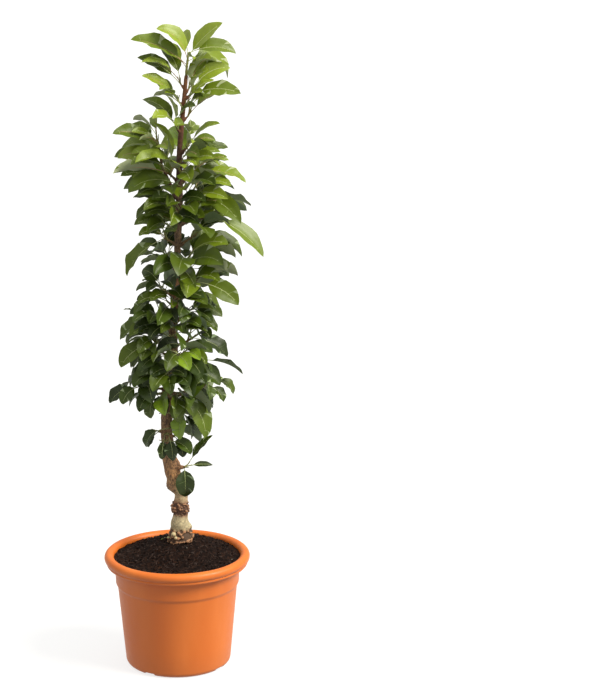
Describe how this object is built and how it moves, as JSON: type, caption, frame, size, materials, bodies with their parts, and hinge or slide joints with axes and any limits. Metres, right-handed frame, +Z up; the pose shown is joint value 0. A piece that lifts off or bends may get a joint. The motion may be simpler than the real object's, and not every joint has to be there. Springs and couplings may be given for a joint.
{
  "type": "potted columnar apple tree",
  "caption": "Slim dwarf apple tree with a leafy columnar crown on a knotted stem, standing in compost in a round terracotta-coloured nursery pot.",
  "frame": {"origin": "centre of the pot's underside, on the flat hub that stands on the ground", "axes": "+Z up along the tree, +X to the right as the tree is looked at from the front, +Y away from the viewer"},
  "size_m": [0.309, 0.2808, 1.235],
  "materials": {
    "terracotta_plastic": "satin moulded plastic, terracotta orange",
    "compost": "moist dark compost, matt and crumbly",
    "apple_bark": "grey-brown bark, rough at the foot",
    "apple_leaf": "semi-matt green leaf"
  },
  "bodies": {
    "root": {"bough_left_shoot": "apple_bark", "bough_left_twig": "apple_bark", "bough_right_high": "apple_bark", "bough_right_low": "apple_bark", "bough_right_mid": "apple_bark", "foliage_left_shoot": "apple_leaf", "foliage_left_twig": "apple_leaf", "foliage_right_high": "apple_leaf", "foliage_right_low": "apple_leaf", "foliage_right_mid": "apple_leaf", "foliage_spur_01": "apple_leaf", "foliage_spur_02": "apple_leaf", "foliage_spur_03": "apple_leaf", "foliage_spur_04": "apple_leaf", "foliage_spur_05": "apple_leaf", "foliage_spur_06": "apple_leaf", "foliage_spur_07": "apple_leaf", "foliage_spur_08": "apple_leaf", "foliage_spur_09": "apple_leaf", "foliage_spur_10": "apple_leaf", "foliage_spur_11": "apple_leaf", "foliage_spur_12": "apple_leaf", "foliage_spur_13": "apple_leaf", "foliage_spur_14": "apple_leaf", "foliage_spur_15": "apple_leaf", "foliage_spur_16": "apple_leaf", "foliage_spur_17": "apple_leaf", "foliage_spur_18": "apple_leaf", "foliage_spur_19": "apple_leaf", "foliage_spur_20": "apple_leaf", "foliage_spur_21": "apple_leaf", "foliage_spur_22": "apple_leaf", "foliage_spur_23": "apple_leaf", "foliage_spur_24": "apple_leaf", "foliage_spur_25": "apple_leaf", "foliage_spur_26": "apple_leaf", "foliage_spur_27": "apple_leaf", "foliage_spur_28": "apple_leaf", "foliage_spur_29": "apple_leaf", "foliage_spur_30": "apple_leaf", "foliage_spur_31": "apple_leaf", "foliage_spur_32": "apple_leaf", "foliage_spur_33": "apple_leaf", "foliage_spur_34": "apple_leaf", "foliage_spur_35": "apple_leaf", "foliage_spur_36": "apple_leaf", "foliage_spur_37": "apple_leaf", "foliage_spur_38": "apple_leaf", "foliage_spur_39": "apple_leaf", "foliage_spur_40": "apple_leaf", "foliage_spur_41": "apple_leaf", "foliage_spur_42": "apple_leaf", "foliage_spur_43": "apple_leaf", "foliage_spur_44": "apple_leaf", "foliage_spur_45": "apple_leaf", "foliage_spur_46": "apple_leaf", "foliage_tuft": "apple_leaf", "pot": "terracotta_plastic", "potting_soil": "compost", "trunk": "apple_bark"}
  },
  "joints": []
}
